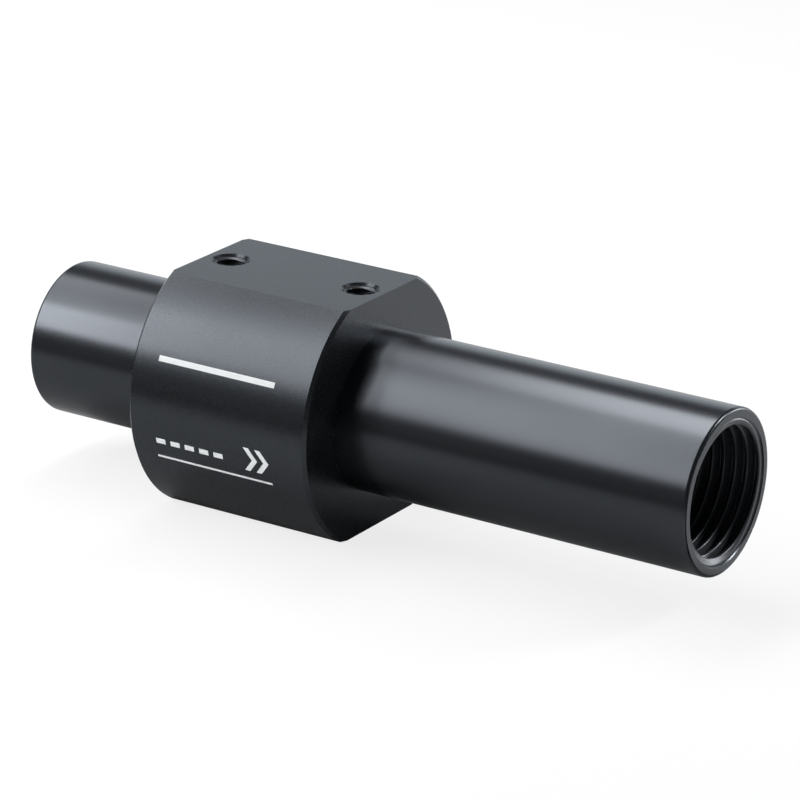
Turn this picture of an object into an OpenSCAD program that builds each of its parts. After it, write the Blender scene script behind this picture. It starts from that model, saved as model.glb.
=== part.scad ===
// In-line vacuum ejector with a ring nozzle, for sucking up and conveying light goods.
// Compressed air enters the supply port, fills the ring chamber in the body and leaves
// through the narrow ring gap between the suction tube's nose and the outlet tube's bell.
// It clings to the bell's rounded edge, runs down the outlet tube and drags the goods along.
//
// Frame: the origin is the middle of the two mounting holes, on the upper flat.
// +X is the direction of flow and +Z points up, out of the upper flat.

/* [Body] */
// Diameter that the body is turned to
body_d = 40; // [38:0.5:50]
// Length of the body between its two end faces
body_l = 30.5; // [27:0.5:45]
// Distance across the two milled flats
flats = 35; // [32:0.5:37]
// Chamfer on the body's two round end edges
body_chamfer = 0.5; // [0.2:0.1:1.2]

/* [Tubes outside the body] */
// Outside diameter of the suction tube
inlet_d = 23; // [22.5:0.5:30]
// Length of the suction tube outside the body
inlet_l = 24.25; // [12:0.25:60]
// Outside diameter of the outlet tube
outlet_d = 24; // [23:0.5:32]
// Length of the outlet tube outside the body
outlet_l = 56.25; // [35:0.25:120]
// Radius that rounds the outside edge of each tube's free end
tube_round = 0.5; // [0.1:0.1:0.6]
// Radius that leads into the mouth of the suction tube
mouth_radius = 1.5; // [0.5:0.1:3]

/* [Passage] */
// Diameter of the straight suction passage
suction_d = 14; // [10:0.5:15]
// Diameter of the throat, where the driving air joins
throat_d = 16; // [15:0.1:17]
// Length of the straight throat, before the passage widens
throat_l = 5; // [2:0.5:12]

/* [Ring nozzle] */
// Width of the ring gap, square to its walls
nozzle_gap = 0.3; // [0.1:0.05:0.5]
// Half angle of the bell and of the nose inside it
nozzle_angle = 30; // [20:1:40]
// Radius that turns the bell into the throat
bell_radius = 3; // [1:0.25:4]
// Width of the flat rim around the bell's mouth
bell_rim = 0.75; // [0.4:0.05:1.2]
// Wall of the nose behind its cone
nose_wall = 1.5; // [1:0.1:2]
// Wall left at the tip of the nose
lip_wall = 0.4; // [0.2:0.05:0.6]

/* [Chamber and spigots] */
// Diameter of the bore that holds both tubes' spigots
bore_d = 21; // [20:0.1:22]
// Diameter of the ring chamber turned into the bore
chamber_d = 25; // [23:0.5:27]
// Length of the ring chamber
chamber_l = 11.5; // [10:0.5:14]
// Radial clearance of a spigot in the bore
spigot_clear = 0.02; // [0.01:0.01:0.05]
// Chamfer on the bore's two edges, so that the tubes' shoulders seat flat
bore_chamfer = 0.3; // [0.1:0.05:0.5]
// Lead-in chamfer on the chamber end of each spigot
spigot_chamfer = 0.3; // [0.1:0.05:0.5]

/* [Seals] */
// Section of each O-ring before it is squeezed
seal_section = 1.5; // [1:0.1:1.8]
// How much the bore squeezes the O-ring
seal_squeeze = 0.3; // [0.1:0.05:0.4]
// Room for the O-ring along its groove, beside its section
seal_room = 0.5; // [0.3:0.1:1]
// Distance from each tube's shoulder to the middle of its O-ring groove
seal_inset = 5; // [3:0.25:6]
// Clearance between a squeezed O-ring and the walls it seals on
seal_clear = 0.01; // [0.01:0.01:0.03]

/* [Threads and holes] */
// Major diameter of the pipe thread in the outlet tube's end
outlet_thread_d = 20.955; // [19.5:0.005:21.5]
// Depth of that thread's profile
outlet_thread_depth = 1.162; // [0.8:0.001:1.3]
// Length of that thread
outlet_thread_l = 15; // [8:0.5:25]
// Countersink at the mouth of that thread, beyond its radius
outlet_countersink = 0.15; // [0.1:0.05:0.5]
// Major diameter of the two mounting threads in the upper flat
mount_thread_d = 5; // [3:0.5:6]
// Depth of those threads' profile
mount_thread_depth = 0.43; // [0.25:0.01:0.5]
// Distance from each end face to the middle of its mounting hole
mount_edge = 4; // [3.5:0.25:5]
// Countersink of the mounting holes, beyond their radius
mount_countersink = 0.35; // [0.1:0.05:0.5]
// Metal left between the bottom of a mounting hole and the bore
mount_floor = 0.8; // [0.4:0.1:1.5]
// Major diameter of the supply port's thread in the lower flat
port_d = 9.728; // [6:0.004:10]
// Countersink of the supply port, beyond its radius
port_countersink = 0.3; // [0.1:0.05:0.5]

/* [Hidden] */
$fn = 96;

// Included angle of a twist drill's point
drill_point = 118;
// How far a cut runs past the face it opens on
over = 1;

anodised = "#3b3f44";
anodised_tube = "#33373b";
nitrile = "#1c1c1c";

axis_z = -flats / 2;
end_x = body_l / 2;
chamber_x = chamber_l / 2;
spigot_r = bore_d / 2 - spigot_clear;

suction_r = suction_d / 2;
throat_r = throat_d / 2;
bell_r = spigot_r - bell_rim;
bell_l = (bell_r - throat_r) / tan(nozzle_angle);
throat_x = chamber_x + bell_l;
inlet_x = -end_x - inlet_l;
outlet_x = end_x + outlet_l;

// The nose lies inside the bell, one gap away from it.
gap_r = nozzle_gap / cos(nozzle_angle);
nose_r = suction_r + nose_wall;
lip_r = suction_r + lip_wall;
function nose_x(r) = throat_x - (r - throat_r + gap_r) / tan(nozzle_angle);

thread_r = outlet_thread_d / 2;
core_r = thread_r - outlet_thread_depth;
thread_x = outlet_x - outlet_thread_l;

gland = seal_section - seal_squeeze;
gland_r = bore_d / 2 - gland;
groove_l = seal_section + seal_room;
seal_x = end_x - seal_inset;

// A profile is drawn with its radius along X and its place along the passage along Y.
module turned() {
    translate([0, 0, axis_z]) rotate([0, 90, 0]) rotate_extrude() children();
}

// What rounding takes off a corner at [r, x], where two edges leave at the given directions.
module corner_waste(r, x, radius, from, to) {
    turn = (to - from) / 2;
    reach = radius / tan(turn);
    mid = from + turn;
    translate([r, x]) difference() {
        polygon([
            [0, 0],
            reach * [cos(from), sin(from)],
            reach * [cos(to), sin(to)],
        ]);
        translate(radius / sin(turn) * [cos(mid), sin(mid)]) circle(radius);
    }
}

// O-ring groove in a spigot, its middle at x.
module seal_groove(x) {
    translate([gland_r, x - groove_l / 2]) square([gland + over, groove_l]);
}

// Blind threaded hole from the plane z = 0 down, with the drill's point at its bottom.
module mount_hole() {
    core = mount_thread_d / 2 - mount_thread_depth;
    point_l = core / tan(drill_point / 2);
    straight_l = flats / 2 - bore_d / 2 - mount_floor - point_l;
    translate([0, 0, -straight_l]) cylinder(d = mount_thread_d, h = straight_l + over);
    translate([0, 0, -straight_l - point_l]) cylinder(r1 = 0, r2 = core, h = point_l);
    translate([0, 0, -mount_countersink])
        cylinder(d1 = mount_thread_d, d2 = mount_thread_d + 2 * mount_countersink, h = mount_countersink);
}

// Supply port from the lower flat up into the ring chamber.
module supply_port() {
    translate([0, 0, -flats - over]) cylinder(d = port_d, h = over + flats / 2 - bore_d / 2);
    translate([0, 0, -flats])
        cylinder(d1 = port_d + 2 * port_countersink, d2 = port_d, h = port_countersink);
}

module body_profile() {
    polygon([
        [bore_d / 2 + bore_chamfer, -end_x],
        [body_d / 2 - body_chamfer, -end_x],
        [body_d / 2, -end_x + body_chamfer],
        [body_d / 2, end_x - body_chamfer],
        [body_d / 2 - body_chamfer, end_x],
        [bore_d / 2 + bore_chamfer, end_x],
        [bore_d / 2, end_x - bore_chamfer],
        [bore_d / 2, chamber_x],
        [chamber_d / 2, chamber_x],
        [chamber_d / 2, -chamber_x],
        [bore_d / 2, -chamber_x],
        [bore_d / 2, -end_x + bore_chamfer],
    ]);
}

// Turned ring with two milled flats: mounting holes above, supply port below.
module body() {
    color(anodised) difference() {
        intersection() {
            turned() body_profile();
            translate([-end_x - over, -body_d / 2 - over, -flats])
                cube([body_l + 2 * over, body_d + 2 * over, flats]);
        }
        for (side = [-1, 1])
            translate([side * (end_x - mount_edge), 0, 0]) mount_hole();
        supply_port();
    }
}

// Suction tube: a shoulder that seats on the body, a sealed spigot, and the nozzle's nose.
module suction_tube() {
    color(anodised_tube) turned() difference() {
        polygon([
            [suction_r, inlet_x],
            [inlet_d / 2, inlet_x],
            [inlet_d / 2, -end_x],
            [spigot_r, -end_x],
            [spigot_r, -chamber_x - spigot_chamfer],
            [spigot_r - spigot_chamfer, -chamber_x],
            [nose_r, -chamber_x],
            [nose_r, nose_x(nose_r)],
            [lip_r, nose_x(lip_r)],
            [suction_r, nose_x(lip_r)],
        ]);
        corner_waste(suction_r, inlet_x, mouth_radius, 0, 90);
        corner_waste(inlet_d / 2, inlet_x, tube_round, 90, 180);
        seal_groove(-seal_x);
    }
}

// Outlet tube: the nozzle's bell, throat and widening passage, and a pipe thread at the end.
module outlet_tube() {
    color(anodised_tube) turned() difference() {
        polygon([
            [bell_r, chamber_x],
            [spigot_r - spigot_chamfer, chamber_x],
            [spigot_r, chamber_x + spigot_chamfer],
            [spigot_r, end_x],
            [outlet_d / 2, end_x],
            [outlet_d / 2, outlet_x],
            [thread_r + outlet_countersink, outlet_x],
            [thread_r, outlet_x - outlet_countersink],
            [thread_r, thread_x],
            [core_r, thread_x],
            [throat_r, throat_x + throat_l],
            [throat_r, throat_x],
        ]);
        corner_waste(throat_r, throat_x, bell_radius, nozzle_angle - 90, 90);
        corner_waste(outlet_d / 2, outlet_x, tube_round, 180, 270);
        seal_groove(seal_x);
    }
}

// O-ring squeezed between the floor of its groove and the bore.
module seal(x) {
    color(nitrile) turned() intersection() {
        translate([gland_r + gland / 2, x]) circle(d = seal_section);
        translate([gland_r + seal_clear, x - groove_l / 2]) square([gland - 2 * seal_clear, groove_l]);
    }
}

module suction_seal() {
    seal(-seal_x);
}

module outlet_seal() {
    seal(seal_x);
}

body();
suction_tube();
outlet_tube();
suction_seal();
outlet_seal();
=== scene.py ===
import math

import bpy
import numpy as np
from mathutils import Matrix, Vector


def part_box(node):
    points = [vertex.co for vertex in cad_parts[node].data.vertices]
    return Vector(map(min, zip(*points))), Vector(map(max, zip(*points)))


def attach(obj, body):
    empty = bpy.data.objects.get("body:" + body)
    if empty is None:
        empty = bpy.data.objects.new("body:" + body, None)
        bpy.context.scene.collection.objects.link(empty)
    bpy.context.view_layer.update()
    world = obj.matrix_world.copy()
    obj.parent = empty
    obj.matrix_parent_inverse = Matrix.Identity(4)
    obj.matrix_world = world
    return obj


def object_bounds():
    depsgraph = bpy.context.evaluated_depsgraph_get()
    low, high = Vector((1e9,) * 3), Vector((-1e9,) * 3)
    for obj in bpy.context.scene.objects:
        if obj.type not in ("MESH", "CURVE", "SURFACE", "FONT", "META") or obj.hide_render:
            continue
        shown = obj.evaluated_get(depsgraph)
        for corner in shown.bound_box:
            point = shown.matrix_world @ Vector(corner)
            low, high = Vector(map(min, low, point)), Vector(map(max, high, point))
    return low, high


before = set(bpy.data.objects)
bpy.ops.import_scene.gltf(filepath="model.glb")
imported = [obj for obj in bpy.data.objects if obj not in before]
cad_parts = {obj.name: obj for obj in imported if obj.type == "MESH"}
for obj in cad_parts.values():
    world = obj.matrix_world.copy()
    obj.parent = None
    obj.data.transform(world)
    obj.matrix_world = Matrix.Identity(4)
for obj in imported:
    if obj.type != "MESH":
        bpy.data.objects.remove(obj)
cad_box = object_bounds()

# ------------------------------------------------------------------------------------------
# Body: a ring turned from aluminium bar, with two flats milled on it and three holes drilled
# in the flats. It is anodised and dyed black after all cutting, so every wall is black.
# ------------------------------------------------------------------------------------------
MM = 0.001

tube_low, tube_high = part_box("outlet_tube")
passage_z = (tube_low.z + tube_high.z) / 2


def linear(colour):
    """RGBA in linear light of an sRGB hex colour: each channel goes through the sRGB curve."""
    channels = np.array([int(colour[i : i + 2], 16) for i in (1, 3, 5)]) / 255
    light = np.where(channels <= 0.04045, channels / 12.92, ((channels + 0.055) / 1.055) ** 2.4)
    return (*light, 1.0)


def add(tree, kind, inputs=None, **settings):
    """Adds a node, sets its properties, and gives each input a value or another node's output."""
    made = tree.nodes.new(kind)
    for name, value in settings.items():
        setattr(made, name, value)
    for name, value in (inputs or {}).items():
        if isinstance(value, bpy.types.NodeSocket):
            tree.links.new(value, made.inputs[name])
        else:
            made.inputs[name].default_value = value
    return made


def black_anodised(name, roughness, feed, milled=False, metal=0.9):
    """Black anodised aluminium: a dyed oxide film, glassy and colourless, over cut metal.

    The eye sees near-black with soft, slightly blue reflections, drawn out across the fine lines
    that the cutter leaves, one feed apart. Turned skins have lines round the passage, end faces
    have rings, and milled flats have straight passes along the passage. Where the metal's share
    is lower, more of the dye shows, as a dull dark grey in place of a gleam.
    """
    dark_dye = "#424549"
    light_dye = "#46494d"
    grain_size = 0.25 * MM  # The film's own grain is finer. This is as fine as can show.
    cloud_size = 9 * MM
    film_relief = 0.004 * MM
    line_share = 0.6  # How far the lines stand out against the grain.
    spread = 0.005  # The roughness strays this far from its middle value, with the grain.
    end_facing = 0.8  # A wall that faces along the passage by more than this is an end face.
    flat_facing = 0.95  # A wall that faces up or down by more than this is a milled flat.
    material = bpy.data.materials.new(name)
    material.use_nodes = True
    tree = material.node_tree
    tree.nodes.clear()
    place = add(tree, "ShaderNodeTexCoord")
    axis = add(tree, "ShaderNodeVectorMath", {0: place.outputs["Object"], 1: (0, 0, passage_z)},
               operation="SUBTRACT")
    part = add(tree, "ShaderNodeSeparateXYZ", {0: axis.outputs[0]})
    facing = add(tree, "ShaderNodeSeparateXYZ", {0: place.outputs["Normal"]})
    square = add(tree, "ShaderNodeMath", {0: part.outputs["Y"], 1: 2.0}, operation="POWER")
    square = add(tree, "ShaderNodeMath", {0: part.outputs["Z"], 1: part.outputs["Z"],
                                          2: square.outputs[0]}, operation="MULTIPLY_ADD")
    radius = add(tree, "ShaderNodeMath", {0: square.outputs[0]}, operation="SQRT")
    end_face = add(tree, "ShaderNodeMath", {0: facing.outputs["X"]}, operation="ABSOLUTE")
    end_face = add(tree, "ShaderNodeMath", {0: end_face.outputs[0], 1: end_facing},
                   operation="GREATER_THAN")
    across = add(tree, "ShaderNodeMix", {"Factor": end_face.outputs[0], "A": part.outputs["X"],
                                         "B": radius.outputs[0]})
    if milled:
        flat = add(tree, "ShaderNodeMath", {0: facing.outputs["Z"]}, operation="ABSOLUTE")
        flat = add(tree, "ShaderNodeMath", {0: flat.outputs[0], 1: flat_facing},
                   operation="GREATER_THAN")
        across = add(tree, "ShaderNodeMix", {"Factor": flat.outputs[0], "A": across.outputs[0],
                                             "B": part.outputs["Y"]})
    lines = add(tree, "ShaderNodeTexNoise", {"W": across.outputs[0], "Scale": 1 / feed,
                                             "Detail": 2.0}, noise_dimensions="1D")
    grain = add(tree, "ShaderNodeTexNoise", {"Vector": place.outputs["Object"],
                                             "Scale": 1 / grain_size, "Detail": 2.0})
    cloud = add(tree, "ShaderNodeTexNoise", {"Vector": place.outputs["Object"],
                                             "Scale": 1 / cloud_size, "Detail": 3.0})
    height = add(tree, "ShaderNodeMath", {0: lines.outputs[0], 1: line_share, 2: grain.outputs[0]},
                 operation="MULTIPLY_ADD")
    bump = add(tree, "ShaderNodeBump", {"Height": height.outputs[0], "Strength": 0.02,
                                        "Distance": film_relief})
    satin = add(tree, "ShaderNodeMapRange", {"Value": grain.outputs[0], "From Min": 0.3,
                                             "From Max": 0.7, "To Min": roughness - spread,
                                             "To Max": roughness + spread})
    tint = add(tree, "ShaderNodeMix", {"Factor": cloud.outputs[0], "A": linear(dark_dye),
                                       "B": linear(light_dye)}, data_type="RGBA")
    shader = add(tree, "ShaderNodeBsdfPrincipled", {"Base Color": tint.outputs["Result"],
                                                    "Metallic": metal,
                                                    "Specular Tint": (0.85, 0.85, 0.85, 1.0),
                                                    "Roughness": satin.outputs[0],
                                                    "Normal": bump.outputs[0]})
    add(tree, "ShaderNodeOutputMaterial", {"Surface": shader.outputs[0]})
    return material


def dress(node, material):
    """Gives a CAD node its finish in the slot that its mesh already has."""
    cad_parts[node].material_slots[0].material = material


dress("body", black_anodised("black_anodised_milled_and_turned", roughness=0.27, feed=0.12 * MM,
                             milled=True))

# ------------------------------------------------------------------------------------------
# Tubes: the suction tube and the outlet tube, each turned from bar and anodised like the body.
# Each is pushed into the body's bore up to its shoulder.
# ------------------------------------------------------------------------------------------
tube_finish = black_anodised("black_anodised_turned", roughness=0.26, feed=0.1 * MM)
dress("suction_tube", tube_finish)
dress("outlet_tube", tube_finish)

# ------------------------------------------------------------------------------------------
# Seals: an O-ring of nitrile rubber in the groove of each tube's spigot. It is moulded in one
# piece, slipped over the spigot, and squeezed by the body's bore.
# ------------------------------------------------------------------------------------------


def nitrile_rubber(name):
    """NBR, moulded: a dull, slightly grey black with a faint waxy gleam and a fine skin."""
    bare_rubber = "#1b1b1b"
    bloomed_rubber = "#242424"
    bloom_size = 3 * MM
    skin_size = 0.2 * MM
    skin_relief = 0.01 * MM
    material = bpy.data.materials.new(name)
    material.use_nodes = True
    tree = material.node_tree
    tree.nodes.clear()
    place = add(tree, "ShaderNodeTexCoord")
    fine = add(tree, "ShaderNodeTexNoise", {"Vector": place.outputs["Object"],
                                            "Scale": 1 / skin_size})
    bloom = add(tree, "ShaderNodeTexNoise", {"Vector": place.outputs["Object"],
                                             "Scale": 1 / bloom_size})
    tint = add(tree, "ShaderNodeMix", {"Factor": bloom.outputs[0], "A": linear(bare_rubber),
                                       "B": linear(bloomed_rubber)}, data_type="RGBA")
    bump = add(tree, "ShaderNodeBump", {"Height": fine.outputs[0], "Strength": 0.3,
                                        "Distance": skin_relief})
    shader = add(tree, "ShaderNodeBsdfPrincipled", {"Base Color": tint.outputs["Result"],
                                                    "Roughness": 0.6, "IOR": 1.52,
                                                    "Normal": bump.outputs[0]})
    add(tree, "ShaderNodeOutputMaterial", {"Surface": shader.outputs[0]})
    return material


seal_rubber = nitrile_rubber("nitrile_rubber_moulded")
dress("suction_seal", seal_rubber)
dress("outlet_seal", seal_rubber)

# ------------------------------------------------------------------------------------------
# Threads: cut with taps in the drilled holes, before anodising. Each piece is the ridge that
# the tap leaves, from the major radius, which is the CAD's wall, in by the depth of its profile.
# ------------------------------------------------------------------------------------------
whitworth = math.radians(27.5)
metric = math.radians(30)

# A tap leaves a rougher wall than a lathe does, so the threads are duller than the tubes.
thread_finish = black_anodised("black_anodised_tapped", roughness=0.34, feed=0.15 * MM, metal=0.65)


def thread_height(turn, pitch, depth, flank):
    """How far a thread stands in from its root, at a place along the pitch, in turns.

    Roots are at whole turns and crests at half turns. Straight flanks lean at the flank angle,
    and equal arcs round both, so that arc radius = (pitch / 2 / tan(flank) - depth) /
    (2 / sin(flank) - 2).
    """
    radius = (pitch / 2 / math.tan(flank) - depth) / (2 / math.sin(flank) - 2)
    reach = radius * math.cos(flank)
    from_crest = np.abs(turn % 1 - 0.5) * pitch
    from_root = pitch / 2 - from_crest
    root = radius - np.sqrt(radius**2 - np.minimum(from_root, reach) ** 2)
    crest = depth - radius + np.sqrt(radius**2 - np.minimum(from_crest, reach) ** 2)
    side = (from_root - reach) / math.tan(flank) + radius * (1 - math.sin(flank))
    return np.where(from_root < reach, root, np.where(from_crest < reach, crest, side))


def skin(name, grid, material, ends=False):
    """A closed mesh on a grid of points [row, column], which rides on the part.

    Columns run round and close. Rows close too, unless the first and last row are covered by
    one face each.
    """
    rows, columns = grid.shape[:2]
    index = np.arange(rows * columns).reshape(rows, columns)
    if ends:
        near, far = index[:-1], index[1:]
    else:
        near, far = index, np.roll(index, -1, axis=0)
    quads = np.stack([near, np.roll(near, -1, axis=1), np.roll(far, -1, axis=1), far], axis=-1)
    faces = quads.reshape(-1, 4).tolist()
    if ends:
        faces += [index[0, ::-1].tolist(), index[-1].tolist()]
    mesh = bpy.data.meshes.new(name)
    mesh.from_pydata(grid.reshape(-1, 3).tolist(), [], faces)
    mesh.materials.append(material)
    piece = bpy.data.objects.new(name, mesh)
    bpy.context.scene.collection.objects.link(piece)
    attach(piece, "root")
    return piece


def tapped_thread(name, mouth, inward, major, profile, pitch, flank, countersink, length,
                  lead):
    """Thread in a hole: radius = major - height(depth / pitch - angle / full turn + lead).

    The grid runs over depth and angle. The ridge starts at full height behind the countersink
    and dies away over the last pitch. Two more rows close it inside the metal.
    """
    per_turn = 32
    columns = 144
    lift = 0.004 * MM
    buried = 0.03 * MM
    rows = int(round((length - countersink) / pitch * per_turn)) + 1
    depth = np.linspace(countersink, length, rows)[:, None]
    angle = np.linspace(0, 2 * math.pi, columns, endpoint=False)[None, :]
    ridge = thread_height(depth / pitch - angle / (2 * math.pi) + lead, pitch, profile, flank)
    ridge = ridge * np.clip((length - depth) / pitch, 0, 1)
    radius = np.minimum(major - ridge, major - lift)
    wall = np.full((1, columns), major + buried)
    radius = np.concatenate([radius, wall, wall])
    depth = np.concatenate([depth, depth[-1:], depth[:1]])
    inward = np.array(inward, float)
    side = np.cross(inward, (0, 1, 0))
    up = np.cross(inward, side)
    round_it = np.cos(angle)[..., None] * side + np.sin(angle)[..., None] * up
    grid = np.array(mouth) + depth[..., None] * inward + radius[..., None] * round_it
    piece = skin(name, grid, thread_finish)
    piece.data.shade_smooth()


tapped_thread("outlet_thread", mouth=(tube_high.x, 0, passage_z),
              inward=(-1, 0, 0), major=10.4775 * MM, profile=1.162 * MM, pitch=1.814 * MM,
              flank=whitworth, countersink=0.15 * MM, length=15 * MM, lead=0.12)

body_low, body_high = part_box("body")
hole_x = body_high.x - 4 * MM
for side_name, x in (("rear", -hole_x), ("front", hole_x)):
    tapped_thread("mounting_thread_" + side_name, mouth=(x, 0, body_high.z),
                  inward=(0, 0, -1), major=2.5 * MM, profile=0.433 * MM, pitch=0.8 * MM,
                  flank=metric, countersink=0.35 * MM, length=4.9 * MM, lead=0.25)

tapped_thread("supply_thread", mouth=(0, 0, body_low.z), inward=(0, 0, 1),
              major=4.864 * MM, profile=0.5805 * MM, pitch=0.907 * MM, flank=whitworth,
              countersink=0.3 * MM, length=4.7 * MM, lead=0.0)

# ------------------------------------------------------------------------------------------
# Print: white ink, screen-printed on the body's round front after anodising. Two rules frame a
# bare field, and plain dashes and a double chevron show which way the air flows.
# ------------------------------------------------------------------------------------------
body_radius = (body_high.y - body_low.y) / 2


def white_ink(name):
    """Screen-printed epoxy ink: a thin, flat, slightly uneven white with a dull sheen."""
    thin_ink = "#e2e5e6"
    thick_ink = "#eceeee"
    weave_size = 0.15 * MM  # The screen's threads are finer. This is as fine as can show.
    weave_relief = 0.01 * MM
    material = bpy.data.materials.new(name)
    material.use_nodes = True
    tree = material.node_tree
    tree.nodes.clear()
    place = add(tree, "ShaderNodeTexCoord")
    weave = add(tree, "ShaderNodeTexNoise", {"Vector": place.outputs["Object"],
                                             "Scale": 1 / weave_size, "Detail": 3.0})
    tint = add(tree, "ShaderNodeMix", {"Factor": weave.outputs[0], "A": linear(thin_ink),
                                       "B": linear(thick_ink)}, data_type="RGBA")
    bump = add(tree, "ShaderNodeBump", {"Height": weave.outputs[0], "Strength": 0.3,
                                        "Distance": weave_relief})
    shader = add(tree, "ShaderNodeBsdfPrincipled", {"Base Color": tint.outputs["Result"],
                                                    "Roughness": 0.5, "IOR": 1.5,
                                                    "Normal": bump.outputs[0]})
    add(tree, "ShaderNodeOutputMaterial", {"Surface": shader.outputs[0]})
    return material


ink = white_ink("white_screen_print_ink")


def printed(name, back_x, width, middle, half_height, reach=0.0):
    """A printed mark on the round front: its back edge lies at back_x + reach * (1 - |v|).

    v runs from -1 to 1 over the mark's height, which is measured along the curve, so the angle
    is (middle + v * half_height) / body radius. Reach bends the mark into a chevron, and an odd
    number of rows puts one on the bend.
    """
    rows = 17
    ink_film = 0.02 * MM
    buried = 0.02 * MM
    v = np.linspace(-1, 1, rows)[:, None]
    angle = (middle + v * half_height) / body_radius
    x = back_x + reach * (1 - np.abs(v)) + width * np.array([0, 1, 1, 0])
    radius = body_radius + np.array([[ink_film, ink_film, -buried, -buried]])
    grid = np.stack([x, -radius * np.cos(angle), passage_z + radius * np.sin(angle)], axis=-1)
    skin(name, grid, ink, ends=True)


rule_length = 19.9 * MM
printed("upper_rule", back_x=-10.8 * MM, width=rule_length, middle=7.97 * MM,
        half_height=0.425 * MM)
printed("lower_rule", back_x=-10.75 * MM, width=rule_length, middle=-7.12 * MM,
        half_height=0.175 * MM)

dash_step = 2.5 * MM
for number in range(5):
    printed(f"flow_dash_{number + 1}", back_x=-10.55 * MM + number * dash_step, width=1.6 * MM,
            middle=-4.4 * MM, half_height=0.4 * MM)

chevron_step = 1.95 * MM
for number in range(2):
    printed(f"flow_chevron_{number + 1}", back_x=4.75 * MM + number * chevron_step, width=0.9 * MM,
            middle=-3.8 * MM, half_height=1.85 * MM, reach=1.41 * MM)

# ------------------------------------------------------------------------------------------
# Studio: a pale floor, a dim room with one white wall low behind the object, and soft boxes
# round the object. Matt cards lie on the floor, grey near the object and black further out,
# and only the reflections in the object show them, as painted shade on its lower side. None
# of it belongs to the object.
# ------------------------------------------------------------------------------------------
scene = bpy.context.scene
scene.view_settings.view_transform = "Standard"
floor_z = cad_box[0].z


def card(name, low, high, height, colour, glow=0.0):
    """A level rectangle of matt paint between two corners, each given as (x, y) in metres.

    Glow is the share of plain white that the camera and the reflections see in place of paint.
    """
    corners = [(low[0], low[1], height), (high[0], low[1], height), (high[0], high[1], height),
               (low[0], high[1], height)]
    mesh = bpy.data.meshes.new(name)
    mesh.from_pydata(corners, [], [(0, 1, 2, 3)])
    material = bpy.data.materials.new(name + "_paint")
    material.use_nodes = True
    tree = material.node_tree
    tree.nodes.clear()
    paint = add(tree, "ShaderNodeBsdfDiffuse", {"Color": linear(colour)})
    white = add(tree, "ShaderNodeEmission", {"Strength": 1.0})
    path = add(tree, "ShaderNodeLightPath")
    seen = add(tree, "ShaderNodeMath", {0: path.outputs["Is Camera Ray"],
                                        1: path.outputs["Is Glossy Ray"]}, operation="MAXIMUM")
    seen = add(tree, "ShaderNodeMath", {0: seen.outputs[0],
                                        1: path.outputs["Is Transmission Ray"]},
               operation="MAXIMUM")
    share = add(tree, "ShaderNodeMath", {0: seen.outputs[0], 1: glow}, operation="MULTIPLY")
    mix = add(tree, "ShaderNodeMixShader", {0: share.outputs[0], 1: paint.outputs[0],
                                            2: white.outputs[0]})
    add(tree, "ShaderNodeOutputMaterial", {"Surface": mix.outputs[0]})
    mesh.materials.append(material)
    piece = bpy.data.objects.new(name, mesh)
    scene.collection.objects.link(piece)
    return piece


def low_card(name, low, high, lift, colour):
    """A card that lies a little over the floor, and that only reflections show: painted shade,
    which darkens the object's reflections and casts no shadow.
    """
    piece = card(name, low, high, floor_z + lift, colour)
    piece.visible_camera = False
    piece.visible_diffuse = False
    piece.visible_shadow = False


card("studio_floor", (-3, -3), (3, 3), floor_z, "#f0f0f0", glow=0.8)
# Painted shade for the reflections: the grey cards near the object and the black ones further out
# darken its lower side.
low_card("black_card", (-0.9, -0.7), (0.9, 0.010), 0.1 * MM, "#202020")
low_card("end_card", (0.1, 0.010), (0.9, 0.024), 0.1 * MM, "#202020")
low_card("grey_card", (-0.9, -0.09), (0.080, 0.010), 0.2 * MM, "#b4b4b4")
low_card("side_card", (0.080, -0.09), (0.13, -0.012), 0.2 * MM, "#c8c8c8")


def soft_box(name, x, turn, width, height, radiance):
    """A rectangular lamp that faces the passage squarely, its width along X, in millimetres.

    Turn is the angle round the passage, from 0 in front over 90 above to 180 behind. A flat lamp
    with one radiance all over gives off pi * area * radiance watts.
    """
    away = 450 * MM
    turn = math.radians(turn)
    outward = Vector((0, -math.cos(turn), math.sin(turn)))
    lamp = bpy.data.lights.new(name, "AREA")
    lamp.shape = "RECTANGLE"
    lamp.size = width * MM
    lamp.size_y = height * MM
    lamp.energy = math.pi * lamp.size * lamp.size_y * radiance
    holder = bpy.data.objects.new(name, lamp)
    turned = Matrix(((1, 0, 0), outward.cross(Vector((1, 0, 0))), outward)).transposed().to_4x4()
    place = Vector((x * MM, 0, passage_z)) + away * outward
    holder.matrix_world = Matrix.Translation(place) @ turned
    holder.visible_camera = False
    scene.collection.objects.link(holder)


# The first four draw the light bands along the tubes and the body. The last two stand behind the
# outlet end and light its mouth.
soft_box("key_box", x=-390, turn=43, width=115, height=310, radiance=15.0)
soft_box("upper_box", x=-380, turn=90, width=130, height=480, radiance=4.6)
soft_box("overhead_box", x=-190, turn=55, width=140, height=640, radiance=4.5)
soft_box("back_box", x=-130, turn=107, width=150, height=270, radiance=8.3)
soft_box("rim_box", x=290, turn=172, width=150, height=130, radiance=12.0)
soft_box("mouth_box", x=380, turn=135, width=160, height=130, radiance=24.0)

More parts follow.
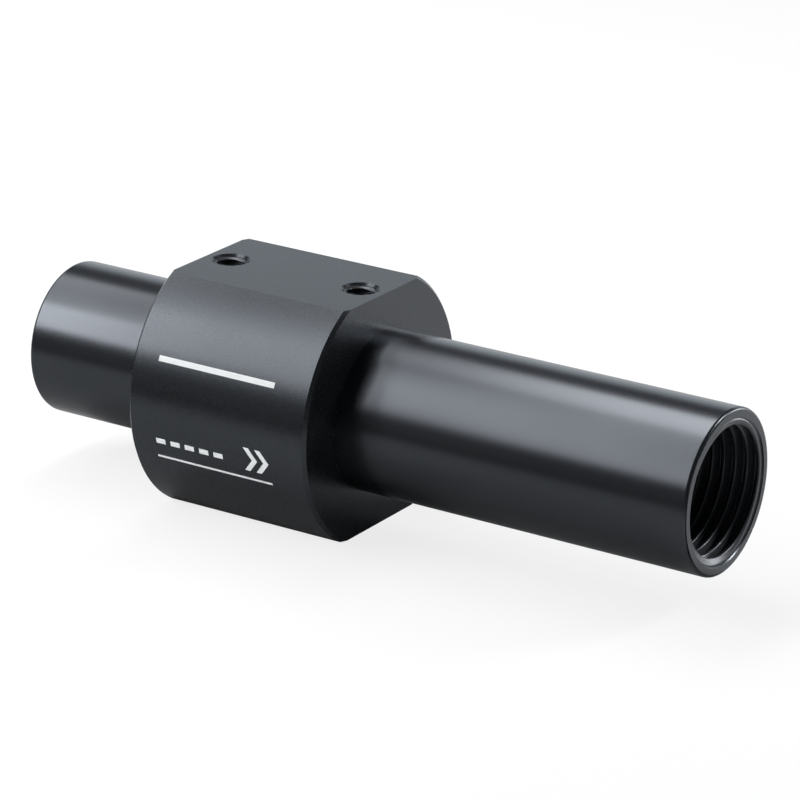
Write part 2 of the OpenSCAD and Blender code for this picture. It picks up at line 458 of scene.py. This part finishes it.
# The room is brighter towards the wall, which fades out 19 to 27 degrees above the level.
dim = 0.08
bright = 1.3
room_tint = "#eef7ff"
wall_way = (-0.53, 0.85, 0)
room = bpy.data.worlds.new("studio_room")
room.use_nodes = True
room.node_tree.nodes.clear()
scene.world = room
look = add(room.node_tree, "ShaderNodeTexCoord")
towards = add(room.node_tree, "ShaderNodeVectorMath", {0: look.outputs["Generated"], 1: wall_way},
              operation="DOT_PRODUCT")
behind = add(room.node_tree, "ShaderNodeMapRange", {"Value": towards.outputs["Value"],
                                                    "From Min": 0.45, "From Max": 0.85},
             interpolation_type="SMOOTHSTEP")
part = add(room.node_tree, "ShaderNodeSeparateXYZ", {0: look.outputs["Generated"]})
low = add(room.node_tree, "ShaderNodeMapRange", {"Value": part.outputs["Z"], "From Min": 0.45,
                                                 "From Max": 0.32}, interpolation_type="SMOOTHSTEP")
wall = add(room.node_tree, "ShaderNodeMath", {0: low.outputs[0], 1: behind.outputs[0]},
           operation="MULTIPLY")
brightness = add(room.node_tree, "ShaderNodeMapRange", {"Value": wall.outputs[0], "To Min": dim,
                                                        "To Max": bright})
light = add(room.node_tree, "ShaderNodeBackground", {"Color": linear(room_tint),
                                                     "Strength": brightness.outputs[0]})
add(room.node_tree, "ShaderNodeOutputWorld", {"Surface": light.outputs[0]})

# ------------------------------------------------------------------------------------------
# Camera: a long lens from the front right, a little above the object, held almost level. It
# aims close to the passage's axis, just past the body's outlet end.
# ------------------------------------------------------------------------------------------
azimuth = math.radians(32.251)
elevation = math.radians(20.178)
roll = math.radians(1.19)
distance = 578.831 * MM
aim = Vector((18.289, 0, -15.41)) * MM
back = Vector((math.sin(azimuth) * math.cos(elevation), -math.cos(azimuth) * math.cos(elevation),
               math.sin(elevation)))
level = (-back).cross(Vector((0, 0, 1))).normalized()
above = level.cross(-back)
right = math.cos(roll) * level + math.sin(roll) * above
upright = math.cos(roll) * above - math.sin(roll) * level
camera = bpy.data.cameras.new("camera")
camera.lens = 182.06
camera.sensor_width = 36
stand = bpy.data.objects.new("camera", camera)
turned = Matrix((right, upright, back)).transposed().to_4x4()
stand.matrix_world = Matrix.Translation(aim + back * distance) @ turned
scene.collection.objects.link(stand)
scene.camera = stand
